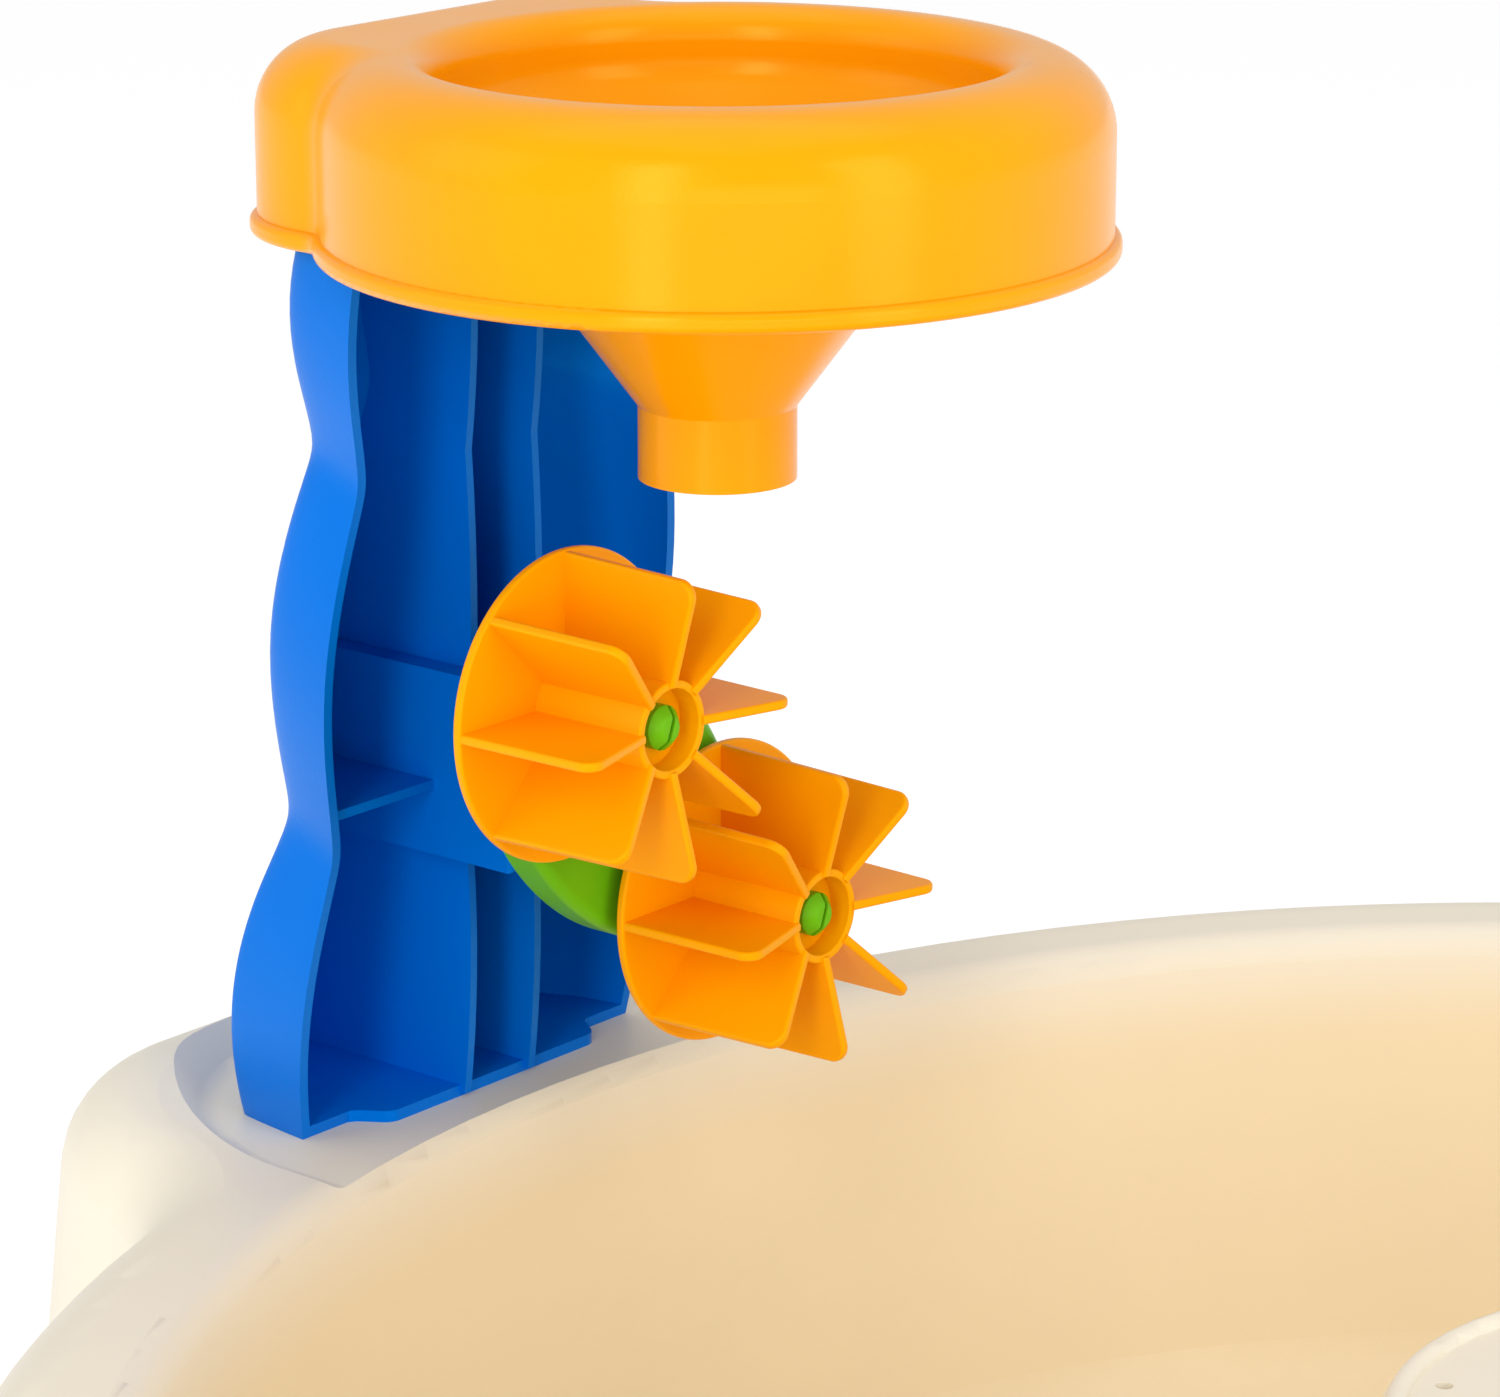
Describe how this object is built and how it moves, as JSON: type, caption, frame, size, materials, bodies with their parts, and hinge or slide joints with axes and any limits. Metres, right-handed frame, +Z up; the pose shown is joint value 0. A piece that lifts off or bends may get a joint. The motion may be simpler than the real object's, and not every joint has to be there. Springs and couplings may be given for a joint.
{
  "type": "sand and water table",
  "caption": "Round sand and water play table on legs, with a pour-in funnel on a tower and paddle wheels on a turning carrier under its spout.",
  "frame": {"origin": "centre of the bounding box at the level of the feet, on the ground", "axes": "+Z up, +Y towards the tower at the back of the tub, +X to the right when facing the tower from the tub"},
  "size_m": [0.776, 0.838, 0.7307],
  "materials": {
    "tub_plastic": "cream moulded plastic, satin",
    "tower_plastic": "blue moulded plastic, satin",
    "blue_plastic": "blue moulded plastic, satin",
    "funnel_plastic": "yellow-orange moulded plastic, glossy",
    "wheel_plastic": "orange moulded plastic, satin",
    "carrier_plastic": "green moulded plastic, satin",
    "screw_steel": "zinc-plated steel",
    "seal_rubber": "black rubber",
    "foot_rubber": "dark grey soft plastic"
  },
  "bodies": {
    "table": {"tub": "tub_plastic", "leg_screws": "screw_steel", "tower": "tower_plastic", "tower_screws": "screw_steel", "funnel": "funnel_plastic", "funnel_screws": "screw_steel", "leg_1": "blue_plastic", "leg_2": "blue_plastic", "leg_3": "blue_plastic", "leg_4": "blue_plastic", "foot_cap_1": "foot_rubber", "foot_cap_2": "foot_rubber", "foot_cap_3": "foot_rubber", "foot_cap_4": "foot_rubber"},
    "plug": {"drain_plug": "blue_plastic", "drain_seal": "seal_rubber"},
    "carrier": {"wheel_carrier": "carrier_plastic"},
    "wheel_upper": {"upper_wheel": "wheel_plastic"},
    "wheel_lower": {"lower_wheel": "wheel_plastic"}
  },
  "joints": [
    {"name": "carrier_turn", "type": "hinge", "parent": "table", "child": "carrier", "pos_m": [0, 0.29439, 0.544], "axis": [0, 1, 0], "continuous": true},
    {"name": "upper_wheel_turn", "type": "hinge", "parent": "carrier", "child": "wheel_upper", "pos_m": [-0.0288, 0.26439, 0.5746], "axis": [0, 1, 0], "continuous": true},
    {"name": "lower_wheel_turn", "type": "hinge", "parent": "carrier", "child": "wheel_lower", "pos_m": [0.0288, 0.26439, 0.5134], "axis": [0, 1, 0], "continuous": true},
    {"name": "drain_plug_pull", "type": "slide", "parent": "table", "child": "plug", "axis": [0, 0, -1], "range_m": [0, 0.02]}
  ]
}
